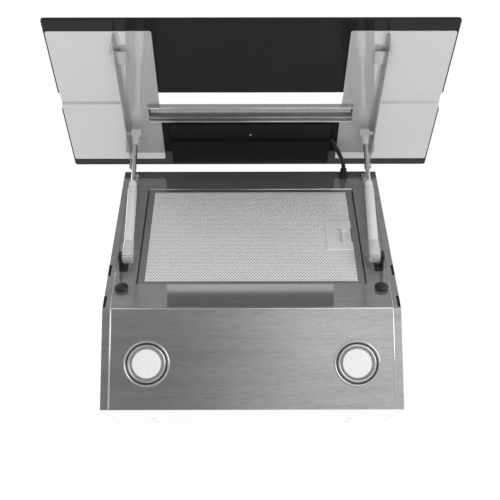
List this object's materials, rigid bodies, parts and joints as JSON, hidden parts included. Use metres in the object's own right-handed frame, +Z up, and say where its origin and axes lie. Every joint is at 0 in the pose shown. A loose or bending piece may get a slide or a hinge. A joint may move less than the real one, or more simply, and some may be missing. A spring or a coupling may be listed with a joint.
{
  "type": "angled range hood",
  "caption": "Wall-mounted angled range hood: a wedge-shaped steel body with lamps and a perforated grease filter, and a black glass door held open by gas struts",
  "frame": {"origin": "centre of the four wall screws, on the back face of the body", "axes": "X along the width, +Y into the wall, +Z up; the door faces -Y"},
  "size_m": [0.598, 0.5454, 0.4156],
  "materials": {
    "panel_steel": "brushed along the width, satin",
    "zinc_steel": "plain galvanised sheet",
    "screw_steel": "bright zinc plate",
    "bezel_steel": "spun satin",
    "mirror_steel": "mirror polished",
    "rail_steel": "bright rolled",
    "black_glass": "polished, opaque black",
    "black_plastic": "moulded",
    "box_plastic": "smooth moulded",
    "grey_plastic": "moulded",
    "circuit_board": "solder mask",
    "led_board": "white board",
    "lamp_aluminium": "turned",
    "motor_steel": "painted",
    "black_metal": "black coat",
    "strut_paint": "satin light grey",
    "strut_plastic": "moulded light grey",
    "rod_chrome": "ground and plated",
    "rubber": "matt",
    "cable_sheath": "satin sheath",
    "filter_frame_steel": "satin",
    "filter_aluminium": "perforated, bright",
    "latch_metal": "satin",
    "frosted_lens": "frosted"
  },
  "bodies": {
    "housing": {"front_panel": "panel_steel", "left_side_panel": "panel_steel", "right_side_panel": "panel_steel", "back_panel": "zinc_steel", "top_panel": "zinc_steel", "mounting_plate": "zinc_steel", "duct_collar": "black_plastic", "collar_screws": "screw_steel", "damper_pin": "screw_steel", "scroll_housing": "zinc_steel", "blower_screws": "screw_steel", "motor": "motor_steel", "motor_bracket": "zinc_steel", "terminal_box": "grey_plastic", "cable_gland": "black_plastic", "lamp_driver": "grey_plastic", "lamp_bezels": "bezel_steel", "lamp_lenses": "frosted_lens", "lamp_bodies": "lamp_aluminium", "led_boards": "led_board", "left_hinge_bracket": "screw_steel", "right_hinge_bracket": "screw_steel", "hinge_pins": "screw_steel", "hinge_bolts": "screw_steel", "left_strut_bracket": "black_metal", "right_strut_bracket": "black_metal", "strut_pins": "screw_steel", "strut_bracket_screws": "black_metal", "bumpers": "rubber", "cable_grommet": "rubber", "control_cable": "cable_sheath"},
    "glass_door": {"upper_glass": "black_glass", "lower_glass": "black_glass", "left_mirror_plate": "mirror_steel", "right_mirror_plate": "mirror_steel", "left_rail": "rail_steel", "right_rail": "rail_steel", "cross_brace": "mirror_steel", "control_box": "box_plastic", "control_board": "circuit_board", "control_screw": "screw_steel", "strut_studs": "screw_steel"},
    "left_strut_cylinder": {"left_strut_tube": "strut_paint", "left_strut_socket": "strut_plastic"},
    "right_strut_cylinder": {"right_strut_tube": "strut_paint", "right_strut_socket": "strut_plastic"},
    "left_strut_piston": {"left_strut_rod": "rod_chrome", "left_rod_end": "strut_plastic"},
    "right_strut_piston": {"right_strut_rod": "rod_chrome", "right_rod_end": "strut_plastic"},
    "grease_filter": {"filter_frame": "filter_frame_steel", "filter_mesh": "filter_aluminium", "filter_latch_plate": "filter_aluminium", "latch_spring": "screw_steel"},
    "latch_slide": {"filter_latch": "latch_metal"},
    "fan": {"impeller": "grey_plastic", "motor_shaft": "screw_steel"},
    "front_damper": {"front_damper_flap": "grey_plastic"},
    "rear_damper": {"rear_damper_flap": "grey_plastic"}
  },
  "joints": [
    {"name": "door_hinge", "type": "hinge", "parent": "housing", "child": "glass_door", "pos_m": [0, -0.42909, 0.05936], "axis": [1, 0, 0], "range_deg": [0, 59.8], "deforming": ["control_cable"]},
    {"name": "left_strut_pivot", "type": "hinge", "parent": "housing", "child": "left_strut_cylinder", "pos_m": [-0.1837, -0.23212, -0.13753], "axis": [1, 0, 0], "range_deg": [-19.41, 0]},
    {"name": "left_strut_stroke", "type": "slide", "parent": "left_strut_cylinder", "child": "left_strut_piston", "axis": [0, -0.9085, 0.418], "range_m": [-0.0663, 0]},
    {"name": "right_strut_pivot", "type": "hinge", "parent": "housing", "child": "right_strut_cylinder", "pos_m": [0.1837, -0.23212, -0.13753], "axis": [1, 0, 0], "range_deg": [-19.41, 0]},
    {"name": "right_strut_stroke", "type": "slide", "parent": "right_strut_cylinder", "child": "right_strut_piston", "axis": [0, -0.9085, 0.418], "range_m": [-0.0663, 0]},
    {"name": "filter_tilt", "type": "hinge", "parent": "housing", "child": "grease_filter", "pos_m": [-0.1672, -0.18605, -0.1578], "axis": [0, 0.7108, -0.7034], "range_deg": [0, 4]},
    {"name": "filter_latch_slide", "type": "slide", "parent": "grease_filter", "child": "latch_slide", "axis": [-1, 0, 0], "range_m": [0, 0.006], "stiffness_N_per_m": 300, "springref_m": -0.002},
    {"name": "fan_spin", "type": "hinge", "parent": "housing", "child": "fan", "pos_m": [0, -0.15, -0.05], "axis": [1, 0, 0], "continuous": true},
    {"name": "front_damper_hinge", "type": "hinge", "parent": "housing", "child": "front_damper", "pos_m": [0, -0.16, 0.08304], "axis": [-1, 0, 0], "range_deg": [0, 75]},
    {"name": "rear_damper_hinge", "type": "hinge", "parent": "housing", "child": "rear_damper", "pos_m": [0, -0.16, 0.08304], "axis": [1, 0, 0], "range_deg": [0, 75]}
  ],
  "couplings": [
    {"joint": "left_strut_pivot", "follows": "door_hinge", "ratio": -0.32429},
    {"joint": "left_strut_stroke", "follows": "door_hinge", "m_per_rad": -0.063426},
    {"joint": "right_strut_pivot", "follows": "door_hinge", "ratio": -0.32429},
    {"joint": "right_strut_stroke", "follows": "door_hinge", "m_per_rad": -0.063426}
  ]
}
